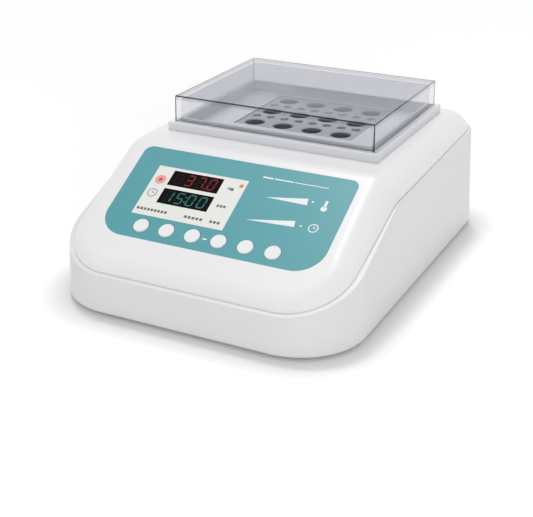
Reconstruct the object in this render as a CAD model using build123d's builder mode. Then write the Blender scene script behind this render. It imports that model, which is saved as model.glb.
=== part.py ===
from build123d import *
import math
import os

# Dry bath incubator: a heated aluminium block for sample tubes, under a clear lift-off lid.
# Millimetres, +Z up. The control panel faces -Y. The origin is on the table, under the
# middle of the housing.

os.makedirs("parts", exist_ok=True)

# Housing form
body_width = 210.4
body_depth = 276.6
deck_height = 88.0
foot_height = 2.5
front_corner_radius = 45.0
rear_corner_radius = 26.0
wall_draft = 2.9
crown_radius = 18.0
brow_inset = 100.3
brow_radius = 23.0
panel_slope = 28.8
base_wall = 3.0
top_wall = 2.6
floor_thickness = 2.5
base_edge_radius = 2.0

# Line where the two housing halves meet, as drops below the crown
parting_front_drop = 4.9
parting_knee_inset = 100.3
parting_knee_drop = 17.1
parting_rear_drop = 11.9
parting_bend_radius = 40.0
ledge_width = 1.2
groove_height = 1.0
groove_depth = 0.8
rim_wall = 5.5
rim_depth = 6.0

# General clearances
fit_gap = 0.3
running_gap = 0.05

# Clear lid and the metal frame it stands on
chamber_inset = 92.6
lid_width = 150.0
lid_depth = 119.4
lid_height = 18.3
lid_wall = 3.0
lid_draft = 1.0
lid_edge_radius = 0.8
lid_gap = 0.4
frame_margin = 3.75
frame_height = 6.15
frame_edge = 0.6
upstand_height = 1.6
upstand_wall = 1.5

# Heating block and its wells
block_width = 90.0
block_depth = 76.0
block_offset_y = 10.5
block_gap = 0.6
block_drop = 0.3
block_edge = 1.5
well_columns = 4
well_rows = 3
well_pitch_x = 22.4
well_pitch_y = 28.4
well_diameter = 14.25
well_floor = 8.0
well_tip_depth = 3.0
well_chamfer = 0.7
small_columns = 8
small_diameter = 6.4
small_tip_diameter = 2.6
small_depth = 16.0

# Plate round the block, liner, heater and insulation
plate_thickness = 2.0
plate_border = 4.5
shelf_thickness = 3.5
liner_wall = 1.0
liner_flange = 3.5
heater_plate_thickness = 8.0
heater_plate_margin = 4.0
heater_mat_thickness = 1.5
heater_mat_inset = 2.0
pad_thickness = 8.0
sleeve_thickness = 5.0
sleeve_top_gap = 3.0
carrier_thickness = 1.5
carrier_margin = 3.5
carrier_lip = 6.0
carrier_lip_length = 61.0
pillar_height = 13.7
pillar_diameter = 7.0
pillar_inset = 4.5
probe_diameter = 4.0
probe_length = 35.0
probe_bite = 25.0
probe_tip_chamfer = 1.0
cutout_width = 20.0
cutout_depth = 4.5
cutout_height = 7.0
cutout_radius = 1.75

# Control panel
panel_width = 158.0
panel_length = 77.0
panel_margin = 7.2
panel_top_radius = 6.0
panel_bottom_radius = 19.0
film_thickness = 0.5
label_width = 67.6
label_length = 42.6
label_x = -27.4
label_drop = 36.7
window_width = 37.6
window_height = 12.9
window_x = -29.6
window_drop = 24.0
window_pitch = 15.8
window_thickness = 2.0
display_border = 1.2
display_thickness = 7.0
lamp_diameter = 3.0
lamp_spots = [(-54.8, 27.0), (3.1, 20.6)]

# Push buttons
button_count = 6
button_pitch = 18.95
button_x = -1.5
button_drop = 66.8
button_diameter = 10.6
button_proud = 0.9
button_edge = 0.5
button_flange = 1.4
button_flange_height = 1.0
button_stem_diameter = 4.0
button_stem_length = 1.1
button_travel = 0.5
plunger_clearance = 0.2
switch_size = 6.0
switch_body_share = 0.75
plunger_diameter = 3.5

# Control board under the panel
board_thickness = 1.6
post_gap = 1.9
board_length = 70.0
board_drop = 42.0
board_inset = 5.0
post_diameter = 7.0
screw_diameter = 3.0
screw_head_diameter = 5.6
screw_head_height = 2.2
screw_length = 6.0

# Power board on the floor of the housing
component_gap = 2.0
power_board_length = 60.0
power_board_inset = 69.0
power_post_height = 7.0
transformer_width = 42.0
transformer_length = 35.0
transformer_height = 28.0
core_thickness = 12.0
winding_width = 29.4
winding_height = 23.8
winding_radius = 3.0
terminal_width = 40.0
terminal_length = 9.0
terminal_height = 11.0
heat_sink_width = 26.0
heat_sink_length = 14.0
heat_sink_height = 24.0
heat_sink_fins = 6
fin_length = 7.0

# Rear panel with the mains inlet, its fuse drawer and the power switch
recess_width = 78.0
recess_gap = 1.5
recess_depth = 3.5
recess_inset = 58.5
recess_z = 37.0
recess_radius = 4.0
inlet_offset = -14.0
inlet_width = 27.4
inlet_height = 41.0
inlet_flange = 2.0
inlet_depth = 19.0
socket_width = 24.6
socket_height = 16.9
socket_depth = 16.0
socket_corner = 4.2
socket_rise = 8.6
blade_width = 2.0
blade_height = 4.0
blade_length = 12.0
blade_spacing = 7.0
blade_offset = 2.0
tab_length = 8.0
drawer_height = 8.0
drawer_drop = 11.5
drawer_length = 18.0
drawer_notch_width = 8.2
drawer_notch_height = 2.7
drawer_notch_depth = 1.0
rocker_offset = 20.0
rocker_width = 10.0
rocker_height = 14.8
rocker_tilt = 8.0
rocker_pivot_depth = 4.0
rocker_crest = 4.0
rocker_rise = 1.2
rocker_keel = 1.0
trunnion_diameter = 2.4
trunnion_length = 0.9
switch_body_wall = 1.5
switch_body_depth = 14.0
switch_flange = 1.5

# Feet, housing screws and air slots
foot_diameter = 16.0
foot_seat = 1.2
foot_chamfer = 0.6
foot_inset_x = 24.0
foot_inset_front = 60.0
foot_inset_rear = 40.0
boss_diameter = 9.0
boss_inset_x = 18.0
boss_inset_front = 46.0
boss_inset_rear = 20.0
boss_meeting_height = 27.0
housing_screw_bore = 3.4
housing_screw_head = 6.4
housing_screw_web = 4.0
housing_screw_length = 14.0
slot_width = 2.6
slot_length = 26.0
slot_pitch = 6.0
slot_count = 9
slot_x = 46.0
slot_z = 38.0
floor_slot_y = 62.0

# Levels and places that follow from the sizes above
slope = math.radians(panel_slope)
floor_top = foot_height + floor_thickness
front_y = -body_depth / 2
rear_y = body_depth / 2
brow_y = front_y + brow_inset
parting_knee_y = front_y + parting_knee_inset
chamber_y = rear_y - chamber_inset
frame_width = lid_width + 2 * frame_margin
frame_depth = lid_depth + 2 * frame_margin
frame_top = deck_height + frame_height
upstand_width = lid_width - 2 * (lid_wall + lid_gap)
upstand_depth = lid_depth - 2 * (lid_wall + lid_gap)
chamber_width = upstand_width - 2 * upstand_wall
chamber_depth = upstand_depth - 2 * upstand_wall
block_y = chamber_y + block_offset_y
block_top = deck_height - block_drop
carrier_bottom = floor_top + pillar_height
pad_bottom = carrier_bottom + carrier_thickness
mat_bottom = pad_bottom + pad_thickness
heater_bottom = mat_bottom + heater_mat_thickness
block_bottom = heater_bottom + heater_plate_thickness
block_height = block_top - block_bottom
well_depth = block_height - well_floor
cavity_width = block_width + 2 * block_gap
cavity_depth = block_depth + 2 * block_gap
plate_width = chamber_width + 2 * plate_border
plate_depth = chamber_depth + 2 * plate_border
plate_bottom = deck_height - plate_thickness
liner_width = cavity_width + 2 * liner_wall
liner_depth = cavity_depth + 2 * liner_wall
flange_width = liner_width + 2 * liner_flange
flange_depth = liner_depth + 2 * liner_flange
heater_width = liner_width + 2 * heater_plate_margin
heater_depth = liner_depth + 2 * heater_plate_margin
carrier_width = heater_width + 2 * carrier_margin
carrier_depth = heater_depth + 2 * carrier_margin
shelf_bottom = plate_bottom - shelf_thickness
panel_origin = (
    0,
    brow_y - panel_margin * math.cos(slope),
    deck_height - panel_margin * math.sin(slope),
)
panel = Plane(origin=panel_origin, x_dir=(1, 0, 0), z_dir=(0, -math.sin(slope), math.cos(slope)))
board_top = -(window_thickness + display_thickness)
board_bottom = board_top - board_thickness
button_bore = button_diameter + 2 * fit_gap
board_width = 2 * (
    abs(button_x)
    + (button_count - 1) / 2 * button_pitch
    + button_diameter / 2
    + button_flange
    + post_gap
    + post_diameter / 2
    + board_inset
)
button_spots = [
    (button_x + (i - (button_count - 1) / 2) * button_pitch, -button_drop) for i in range(button_count)
]
flange_top = -(top_wall + fit_gap)
stem_bottom = flange_top - button_flange_height - button_stem_length
plunger_top = stem_bottom - button_travel - plunger_clearance
window_spots = [(window_x, -window_drop), (window_x, -window_drop - window_pitch)]
recess_floor_y = rear_y - recess_depth
inlet_z = recess_z
recess_x = recess_inset - body_width / 2
inlet_x = recess_x + inlet_offset
rocker_x = recess_x + rocker_offset
power_board_width = transformer_width + terminal_width + component_gap + 4 * board_inset
power_board_y = front_y + power_board_inset
pocket_height = inlet_height + 2 * (inlet_flange + recess_gap)
recess_height = pocket_height + 2 * base_wall
flange_face_y = recess_floor_y + inlet_flange
socket_z = inlet_z + socket_rise
drawer_z = inlet_z - drawer_drop
socket_floor_y = flange_face_y - socket_depth
power_board_bottom = floor_top + power_post_height
power_board_top = power_board_bottom + board_thickness


def plan_outline(inset):
    """Plan of the housing at its foot, drawn `inset` inside the outer face."""
    with BuildSketch() as outline:
        Rectangle(body_width - 2 * inset, body_depth - 2 * inset)
        fillet(outline.vertices().group_by(Axis.Y)[0], front_corner_radius - inset)
        fillet(outline.vertices().group_by(Axis.Y)[-1], rear_corner_radius - inset)
    return outline.sketch


def crown_outline(sink):
    """Side view of the body up to its sloping front, brow and deck, all sunk by `sink`."""
    brow = (brow_y + sink * math.tan(slope / 2), deck_height - sink)
    toe = (brow[0] - body_depth, brow[1] - body_depth * math.tan(slope))
    tail = (body_depth, brow[1])
    with BuildSketch() as outline:
        with BuildLine():
            FilletPolyline(toe, brow, tail, radius=brow_radius - sink)
            Polyline(tail, (body_depth, -body_depth), (toe[0], -body_depth), toe)
        make_face()
    return outline.sketch


def parting_height(y):
    """Height of the straight front or rear run of the parting line at `y`."""
    crown_front = deck_height - (brow_y - front_y) * math.tan(slope)
    knee_z = deck_height - parting_knee_drop
    front_run = (knee_z - crown_front + parting_front_drop) / (parting_knee_y - front_y)
    rear_run = (parting_knee_drop - parting_rear_drop) / (rear_y - parting_knee_y)
    run = front_run if y < parting_knee_y else rear_run
    return knee_z + run * (y - parting_knee_y)


def parting_outline(lift):
    """Side view of all that lies above the parting line, raised by `lift`."""
    ends = [(y, parting_height(y) + lift) for y in (-body_depth, parting_knee_y, body_depth)]
    ceiling = 2 * deck_height
    with BuildSketch() as outline:
        with BuildLine():
            FilletPolyline(*ends, radius=parting_bend_radius)
            Polyline(ends[-1], (body_depth, ceiling), (-body_depth, ceiling), ends[0])
        make_face()
    return outline.sketch


def drafted_body(inset, bottom):
    """Body walls with their draft, `inset` inside the outer face, from `bottom` to above the deck."""
    shrink = (bottom - foot_height) * math.tan(math.radians(wall_draft))
    with BuildPart() as body:
        with BuildSketch(Plane.XY.offset(bottom)):
            add(plan_outline(inset + shrink))
        extrude(amount=deck_height, taper=wall_draft)
    return body.part


def tub_hollow():
    """Inside of the base: full width below, and narrower at the rim that carries the top housing."""
    with BuildPart() as hollow:
        add(drafted_body(base_wall, floor_top))
        with BuildSketch(Plane.YZ):
            add(parting_outline(-rim_depth))
        extrude(amount=body_width, both=True, mode=Mode.SUBTRACT)
        add(drafted_body(rim_wall, floor_top))
    return hollow.part


def crown(inset, sink):
    """Body with its sloping front, deck and rounded shoulders, inside the outer face."""
    with BuildPart() as body:
        add(drafted_body(inset, foot_height))
        with BuildSketch(Plane.YZ):
            add(crown_outline(sink))
        extrude(amount=body_width, both=True, mode=Mode.INTERSECT)
        tops = body.faces().filter_by(lambda face: face.normal_at().Z > 0.5)
        top_edges = [edge for face in tops for edge in face.edges()]
        shoulders = [edge for edge in top_edges if sum(edge.is_same(other) for other in top_edges) == 1]
        fillet(shoulders, crown_radius - sink)
    return body.part


def film_outline(grow):
    """Outline of the panel film on the panel plane, grown by `grow` all round."""
    with BuildSketch() as outline:
        with Locations((0, -panel_length / 2)):
            Rectangle(panel_width + 2 * grow, panel_length + 2 * grow)
        fillet(outline.vertices().group_by(Axis.Y)[-1], panel_top_radius + grow)
        fillet(outline.vertices().group_by(Axis.Y)[0], panel_bottom_radius + grow)
    return outline.sketch


# Forms that several housing pieces share
base_form = drafted_body(0, foot_height)
base_hollow = tub_hollow()
crown_form = crown(ledge_width, 0)
crown_neck = crown(ledge_width + groove_depth, 0)
crown_hollow = crown(ledge_width + top_wall, top_wall)
boss_spots = [
    (side * (body_width / 2 - boss_inset_x), y)
    for side in (-1, 1)
    for y in (front_y + boss_inset_front, rear_y - boss_inset_rear)
]
foot_spots = [
    (side * (body_width / 2 - foot_inset_x), y)
    for y in (front_y + foot_inset_front, rear_y - foot_inset_rear)
    for side in (-1, 1)
]
post_spots = [
    (side * (board_width / 2 - board_inset), -board_drop + end * (board_length / 2 - board_inset))
    for side in (-1, 1)
    for end in (-1, 1)
]
power_post_spots = [
    (
        side * (power_board_width / 2 - board_inset),
        power_board_y + end * (power_board_length / 2 - board_inset),
    )
    for side in (-1, 1)
    for end in (-1, 1)
]
pillar_spots = [
    (side * (carrier_width / 2 - pillar_inset), block_y + end * (carrier_depth / 2 - pillar_inset))
    for side in (-1, 1)
    for end in (-1, 1)
]

# Base housing: drafted tub with a swept upper edge, floor, screw bosses and the rear recess
with BuildPart() as base_housing:
    add(base_form)
    with BuildSketch(Plane.YZ):
        add(parting_outline(0))
    extrude(amount=body_width, both=True, mode=Mode.SUBTRACT)
    fillet(base_housing.edges().group_by(Axis.Z)[0], base_edge_radius)
    add(base_hollow, mode=Mode.SUBTRACT)
    with BuildSketch(Plane.XY.offset(floor_top)):
        with Locations(boss_spots):
            Circle(boss_diameter / 2)
    extrude(amount=boss_meeting_height - floor_top)
    with BuildSketch(Plane.XY.offset(floor_top)):
        with Locations(power_post_spots):
            Circle(post_diameter / 2)
    extrude(amount=power_post_height)
    with BuildSketch(Plane.XZ.offset(base_wall - recess_floor_y)):
        with Locations((recess_x, recess_z)):
            Rectangle(recess_width, recess_height)
    extrude(amount=-(base_wall + recess_depth))
    add(base_form, mode=Mode.INTERSECT)
    with BuildSketch(Plane.XZ.offset(-recess_floor_y)):
        with Locations((recess_x, recess_z)):
            RectangleRounded(recess_width - 2 * base_wall, pocket_height, recess_radius)
    extrude(amount=-2 * recess_depth, mode=Mode.SUBTRACT)
    with BuildSketch(Plane.XZ.offset(-recess_floor_y)):
        with Locations((inlet_x, inlet_z)):
            Rectangle(inlet_width + 2 * fit_gap, inlet_height + 2 * fit_gap)
        with Locations((rocker_x, recess_z)):
            Rectangle(
                rocker_width + 2 * (fit_gap + switch_body_wall + fit_gap),
                rocker_height + 2 * (rocker_rise + switch_body_wall + fit_gap),
            )
    extrude(amount=2 * base_wall, mode=Mode.SUBTRACT)
    with BuildSketch(Plane.XZ.offset(-rear_y)):
        with Locations((slot_x, slot_z)):
            with GridLocations(slot_pitch, 0, slot_count, 1):
                SlotOverall(slot_length, slot_width, rotation=90)
    extrude(amount=2 * base_wall, mode=Mode.SUBTRACT)
    with BuildSketch(Plane.XY.offset(foot_height)):
        with Locations((0, floor_slot_y)):
            with GridLocations(slot_pitch, 0, slot_count, 1):
                SlotOverall(slot_length, slot_width, rotation=90)
    extrude(amount=floor_thickness, mode=Mode.SUBTRACT)
    with BuildSketch(Plane.XY.offset(foot_height)):
        with Locations(foot_spots):
            Circle(foot_diameter / 2 + fit_gap)
    extrude(amount=foot_seat, mode=Mode.SUBTRACT)
    with BuildSketch(Plane.XY.offset(foot_height)):
        with Locations(boss_spots):
            Circle(housing_screw_head / 2)
    extrude(amount=boss_meeting_height - housing_screw_web - foot_height, mode=Mode.SUBTRACT)
    with BuildSketch(Plane.XY.offset(foot_height)):
        with Locations(boss_spots):
            Circle(housing_screw_bore / 2)
    extrude(amount=boss_meeting_height, mode=Mode.SUBTRACT)
    with BuildSketch(Plane.XY.offset(floor_top + power_post_height)):
        with Locations(power_post_spots):
            Circle(housing_screw_bore / 2)
    extrude(amount=-power_post_height, mode=Mode.SUBTRACT)
base_housing.part.label = "base_housing"
export_step(base_housing.part, "parts/base_housing.step")

# Posts that hang from the inside of the top housing: screw bosses and board posts
with BuildPart() as top_posts:
    with BuildSketch(Plane.XY.offset(boss_meeting_height)):
        with Locations(boss_spots):
            Circle(boss_diameter / 2)
    extrude(amount=deck_height)
    with BuildSketch(panel.offset(board_top)):
        with Locations(post_spots):
            Circle(post_diameter / 2)
    extrude(amount=-board_top)
    with BuildSketch(Plane.XY.offset(shelf_bottom)):
        with Locations((0, chamber_y)):
            Rectangle(frame_width, frame_depth)
    extrude(amount=shelf_thickness + plate_thickness)
    add(crown_neck, mode=Mode.INTERSECT)

# Top housing: sloping panel, deck and rounded shoulders, with a shadow groove above the base
with BuildPart() as top_housing:
    add(crown_form)
    with BuildSketch(Plane.YZ):
        add(parting_outline(groove_height))
    extrude(amount=body_width, both=True, mode=Mode.INTERSECT)
    add(crown_neck)
    with BuildSketch(Plane.YZ):
        add(parting_outline(0))
    extrude(amount=body_width, both=True, mode=Mode.INTERSECT)
    add(crown_hollow, mode=Mode.SUBTRACT)
    add(top_posts.part)
    with BuildSketch(panel):
        add(film_outline(running_gap))
    extrude(amount=-film_thickness, mode=Mode.SUBTRACT)
    with BuildSketch(panel):
        with Locations(button_spots):
            Circle(button_bore / 2)
        with Locations((window_x, -window_drop - window_pitch / 2)):
            Rectangle(window_width + 2 * display_border, window_pitch + window_height + 2 * display_border)
        with Locations([(x, -drop) for x, drop in lamp_spots]):
            Circle(lamp_diameter / 2 + fit_gap)
    extrude(amount=-(top_wall + film_thickness), mode=Mode.SUBTRACT)
    with BuildSketch(panel.offset(board_top)):
        with Locations(post_spots):
            Circle(screw_diameter / 2 + running_gap)
    extrude(amount=screw_length, mode=Mode.SUBTRACT)
    with BuildSketch(Plane.XY.offset(plate_bottom)):
        with Locations((0, chamber_y)):
            Rectangle(plate_width + 2 * fit_gap, plate_depth + 2 * fit_gap)
    extrude(amount=plate_thickness, mode=Mode.SUBTRACT)
    with BuildSketch(Plane.XY.offset(shelf_bottom)):
        with Locations((0, block_y)):
            Rectangle(flange_width + 2 * fit_gap, flange_depth + 2 * fit_gap)
    extrude(amount=shelf_thickness, mode=Mode.SUBTRACT)
    with BuildSketch(Plane.XY.offset(boss_meeting_height)):
        with Locations(boss_spots):
            Circle(screw_diameter / 2 + running_gap)
    extrude(amount=housing_screw_length, mode=Mode.SUBTRACT)
top_housing.part.label = "top_housing"
export_step(top_housing.part, "parts/top_housing.step")

# Metal frame on the deck, with an upstand that locates the lid from inside
with BuildPart() as lid_frame:
    with BuildSketch(Plane.XY.offset(deck_height)):
        with Locations((0, chamber_y)):
            Rectangle(frame_width, frame_depth)
    extrude(amount=frame_height)
    chamfer(lid_frame.edges().group_by(Axis.Z)[-1], frame_edge)
    with BuildSketch(Plane.XY.offset(frame_top)):
        with Locations((0, chamber_y)):
            Rectangle(upstand_width, upstand_depth)
    extrude(amount=upstand_height)
    with BuildSketch(Plane.XY.offset(deck_height)):
        with Locations((0, chamber_y)):
            Rectangle(chamber_width, chamber_depth)
    extrude(amount=frame_height + upstand_height, mode=Mode.SUBTRACT)
lid_frame.part.label = "lid_frame"
export_step(lid_frame.part, "parts/lid_frame.step")

# Clear lid: a drafted box, open below
with BuildPart() as lid:
    with BuildSketch(Plane.XY.offset(frame_top)):
        with Locations((0, chamber_y)):
            Rectangle(lid_width, lid_depth)
    extrude(amount=lid_height, taper=lid_draft)
    fillet(lid.edges().filter_by(Axis.Z, reverse=True).group_by(Axis.Z)[-1], lid_edge_radius)
    with BuildSketch(Plane.XY.offset(frame_top)):
        with Locations((0, chamber_y)):
            Rectangle(lid_width - 2 * lid_wall, lid_depth - 2 * lid_wall)
    extrude(amount=lid_height - lid_wall, taper=lid_draft, mode=Mode.SUBTRACT)
lid.part.label = "lid"
export_step(lid.part, "parts/lid.step")

# Bright plate that closes the deck round the block
with BuildPart() as deck_plate:
    with BuildSketch(Plane.XY.offset(plate_bottom)):
        with Locations((0, chamber_y)):
            Rectangle(plate_width, plate_depth)
        with Locations((0, block_y)):
            Rectangle(cavity_width, cavity_depth, mode=Mode.SUBTRACT)
    extrude(amount=plate_thickness)
deck_plate.part.label = "deck_plate"
export_step(deck_plate.part, "parts/deck_plate.step")

# Heating block: drilled wells with cone tips, and rows of small tapered wells between them
small_rows = [(row + 0.5 - (well_rows - 1) / 2) * well_pitch_y for row in range(well_rows - 1)]
small_spots = [
    ((column - (small_columns - 1) / 2) * well_pitch_x / 2, block_y + y)
    for y in small_rows
    for column in range(small_columns)
]
with BuildPart() as heating_block:
    with BuildSketch(Plane.XY.offset(block_bottom)):
        with Locations((0, block_y)):
            Rectangle(block_width, block_depth)
    extrude(amount=block_height)
    fillet(heating_block.edges().filter_by(Axis.Z), block_edge)
    with Locations(Plane(origin=(0, block_y, block_top))):
        with GridLocations(well_pitch_x, well_pitch_y, well_columns, well_rows):
            CounterSinkHole(well_diameter / 2, well_diameter / 2 + well_chamfer, well_depth)
    with Locations(Plane(origin=(0, block_y, block_top - well_depth - well_tip_depth / 2))):
        with GridLocations(well_pitch_x, well_pitch_y, well_columns, well_rows):
            Cone(0, well_diameter / 2, well_tip_depth, mode=Mode.SUBTRACT)
    with Locations([(x, y, block_top - small_depth / 2) for x, y in small_spots]):
        Cone(small_tip_diameter / 2, small_diameter / 2, small_depth, mode=Mode.SUBTRACT)
heating_block.part.label = "heating_block"
export_step(heating_block.part, "parts/heating_block.step")

# Thin liner that hangs from the plate and guides the block
with BuildPart() as block_liner:
    with BuildSketch(Plane.XY.offset(block_bottom)):
        with Locations((0, block_y)):
            Rectangle(liner_width, liner_depth)
    extrude(amount=plate_bottom - block_bottom)
    with BuildSketch(Plane.XY.offset(plate_bottom)):
        with Locations((0, block_y)):
            Rectangle(flange_width, flange_depth)
    extrude(amount=-liner_wall)
    with BuildSketch(Plane.XY.offset(block_bottom)):
        with Locations((0, block_y)):
            Rectangle(cavity_width, cavity_depth)
    extrude(amount=plate_bottom - block_bottom, mode=Mode.SUBTRACT)
block_liner.part.label = "block_liner"
export_step(block_liner.part, "parts/block_liner.step")

# Heater plate that the block stands on, bored for the temperature probe
probe_y = block_y - heater_depth / 2
probe_z = heater_bottom + heater_plate_thickness / 2
with BuildPart() as heater_plate:
    with BuildSketch(Plane.XY.offset(heater_bottom)):
        with Locations((0, block_y)):
            Rectangle(heater_width, heater_depth)
    extrude(amount=heater_plate_thickness)
    with BuildSketch(Plane.XZ.offset(-probe_y)):
        with Locations((0, probe_z)):
            Circle(probe_diameter / 2 + running_gap)
    extrude(amount=-probe_bite, mode=Mode.SUBTRACT)
heater_plate.part.label = "heater_plate"
export_step(heater_plate.part, "parts/heater_plate.step")

# Temperature probe pushed into the heater plate
with BuildPart() as temperature_probe:
    with BuildSketch(Plane.XZ.offset(-(probe_y + probe_bite - fit_gap))):
        with Locations((0, probe_z)):
            Circle(probe_diameter / 2)
    extrude(amount=probe_length)
    chamfer(temperature_probe.edges().sort_by(Axis.Y)[-1], probe_tip_chamfer)
temperature_probe.part.label = "temperature_probe"
export_step(temperature_probe.part, "parts/temperature_probe.step")

# Thermal cut-out clipped to the rear of the heater plate
with BuildPart() as thermal_cutout:
    with BuildSketch(Plane.XZ.offset(-(block_y + heater_depth / 2))):
        with Locations((0, probe_z)):
            RectangleRounded(cutout_width, cutout_height, cutout_radius)
    extrude(amount=-cutout_depth)
thermal_cutout.part.label = "thermal_cutout"
export_step(thermal_cutout.part, "parts/thermal_cutout.step")

# Heater mat stuck under the heater plate
with BuildPart() as heater_mat:
    with BuildSketch(Plane.XY.offset(mat_bottom)):
        with Locations((0, block_y)):
            Rectangle(heater_width - 2 * heater_mat_inset, heater_depth - 2 * heater_mat_inset)
    extrude(amount=heater_mat_thickness)
heater_mat.part.label = "heater_mat"
export_step(heater_mat.part, "parts/heater_mat.step")

# Insulation under the heater and round the liner
with BuildPart() as insulation_pad:
    with BuildSketch(Plane.XY.offset(pad_bottom)):
        with Locations((0, block_y)):
            Rectangle(heater_width, heater_depth)
    extrude(amount=pad_thickness)
insulation_pad.part.label = "insulation_pad"
export_step(insulation_pad.part, "parts/insulation_pad.step")

with BuildPart() as insulation_sleeve:
    with BuildSketch(Plane.XY.offset(block_bottom)):
        with Locations((0, block_y)):
            Rectangle(liner_width + 2 * sleeve_thickness, liner_depth + 2 * sleeve_thickness)
            Rectangle(liner_width + 2 * fit_gap, liner_depth + 2 * fit_gap, mode=Mode.SUBTRACT)
    extrude(amount=shelf_bottom - block_bottom - sleeve_top_gap)
insulation_sleeve.part.label = "insulation_sleeve"
export_step(insulation_sleeve.part, "parts/insulation_sleeve.step")

# Folded tray that carries the heater stack on four pillars
with BuildPart() as heater_carrier:
    with BuildSketch(Plane.XY.offset(carrier_bottom)):
        with Locations((0, block_y)):
            Rectangle(carrier_width, carrier_depth)
    extrude(amount=carrier_thickness)
    with BuildSketch(Plane.XY.offset(pad_bottom)):
        with Locations((0, block_y)):
            Rectangle(heater_width + 2 * (carrier_thickness + fit_gap), carrier_lip_length)
            Rectangle(heater_width + 2 * fit_gap, heater_depth, mode=Mode.SUBTRACT)
    extrude(amount=carrier_lip)
    with BuildSketch(Plane.XY.offset(carrier_bottom)):
        with Locations(pillar_spots):
            Circle(housing_screw_bore / 2)
    extrude(amount=carrier_thickness, mode=Mode.SUBTRACT)
heater_carrier.part.label = "heater_carrier"
export_step(heater_carrier.part, "parts/heater_carrier.step")

with BuildPart() as carrier_pillars:
    with BuildSketch(Plane.XY.offset(floor_top)):
        with Locations(pillar_spots):
            RegularPolygon(pillar_diameter / 2, 6, major_radius=False)
    extrude(amount=pillar_height)
carrier_pillars.part.label = "carrier_pillars"
export_step(carrier_pillars.part, "parts/carrier_pillars.step")

# Printed film over the sloping panel, cut out round the label and the buttons
with BuildPart() as panel_film:
    with BuildSketch(panel):
        add(film_outline(0))
        with Locations((label_x, -label_drop)):
            Rectangle(label_width, label_length, mode=Mode.SUBTRACT)
        with Locations(button_spots):
            Circle(button_bore / 2, mode=Mode.SUBTRACT)
    extrude(amount=-film_thickness)
panel_film.part.label = "panel_film"
export_step(panel_film.part, "parts/panel_film.step")

# White label plate round the two display windows
with BuildPart() as display_label:
    with BuildSketch(panel):
        with Locations((label_x, -label_drop)):
            Rectangle(label_width, label_length)
        with Locations(window_spots):
            Rectangle(window_width, window_height, mode=Mode.SUBTRACT)
        with Locations([(x, -drop) for x, drop in lamp_spots]):
            Circle(lamp_diameter / 2 + running_gap, mode=Mode.SUBTRACT)
    extrude(amount=-film_thickness)
display_label.part.label = "display_label"
export_step(display_label.part, "parts/display_label.step")

# Dark windows, and a digit display behind each
display_names = [("temperature_window", "temperature_display"), ("time_window", "time_display")]
for spot, (window_name, display_name) in zip(window_spots, display_names):
    with BuildPart() as window:
        with BuildSketch(panel):
            with Locations(spot):
                Rectangle(window_width - 2 * running_gap, window_height - 2 * running_gap)
        extrude(amount=-window_thickness)
    window.part.label = window_name
    export_step(window.part, f"parts/{window_name}.step")

    with BuildPart() as display:
        with BuildSketch(panel.offset(-window_thickness)):
            with Locations(spot):
                Rectangle(window_width + display_border, window_height + display_border)
        extrude(amount=-display_thickness)
    display.part.label = display_name
    export_step(display.part, f"parts/{display_name}.step")

# Two indicator lamps that stand from the board to the label
with BuildPart() as indicator_lamps:
    with BuildSketch(panel.offset(board_top)):
        with Locations([(x, -drop) for x, drop in lamp_spots]):
            Circle(lamp_diameter / 2)
    extrude(amount=-board_top)
indicator_lamps.part.label = "indicator_lamps"
export_step(indicator_lamps.part, "parts/indicator_lamps.step")

# Push buttons: domed caps with a flange under the panel and a stem over each switch
for number, spot in enumerate(button_spots, start=1):
    with BuildPart() as button:
        with BuildSketch(panel.offset(flange_top)):
            with Locations(spot):
                Circle(button_diameter / 2)
        extrude(amount=button_proud - flange_top)
        chamfer(button.edges().sort_by(Axis(panel.origin, panel.z_dir))[-1], button_edge)
        with BuildSketch(panel.offset(flange_top)):
            with Locations(spot):
                Circle(button_diameter / 2 + button_flange)
        extrude(amount=-button_flange_height)
        with BuildSketch(panel.offset(stem_bottom)):
            with Locations(spot):
                Circle(button_stem_diameter / 2)
        extrude(amount=button_stem_length)
    button.part.label = f"button_{number}"
    export_step(button.part, f"parts/button_{number}.step")

# Control board, its key switches and its screws
with BuildPart() as control_board:
    with BuildSketch(panel.offset(board_bottom)):
        with Locations((0, -board_drop)):
            Rectangle(board_width, board_length)
        with Locations(post_spots):
            Circle(housing_screw_bore / 2, mode=Mode.SUBTRACT)
    extrude(amount=board_thickness)
control_board.part.label = "control_board"
export_step(control_board.part, "parts/control_board.step")

with BuildPart() as key_switches:
    with BuildSketch(panel.offset(board_top)):
        with Locations(button_spots):
            Rectangle(switch_size, switch_size)
    extrude(amount=(plunger_top - board_top) * switch_body_share)
    with BuildSketch(panel.offset(board_top)):
        with Locations(button_spots):
            Circle(plunger_diameter / 2)
    extrude(amount=plunger_top - board_top)
key_switches.part.label = "key_switches"
export_step(key_switches.part, "parts/key_switches.step")

with BuildPart() as board_screws:
    with BuildSketch(panel.offset(board_bottom)):
        with Locations(post_spots):
            Circle(screw_head_diameter / 2)
    extrude(amount=-screw_head_height)
    with BuildSketch(panel.offset(board_bottom)):
        with Locations(post_spots):
            Circle(screw_diameter / 2)
    extrude(amount=screw_length)
board_screws.part.label = "board_screws"
export_step(board_screws.part, "parts/board_screws.step")

# Power board on its posts, with a transformer, terminals and a finned heat sink
with BuildPart() as power_board:
    with BuildSketch(Plane.XY.offset(power_board_bottom)):
        with Locations((0, power_board_y)):
            Rectangle(power_board_width, power_board_length)
        with Locations(power_post_spots):
            Circle(housing_screw_bore / 2, mode=Mode.SUBTRACT)
    extrude(amount=board_thickness)
power_board.part.label = "power_board"
export_step(power_board.part, "parts/power_board.step")

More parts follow.
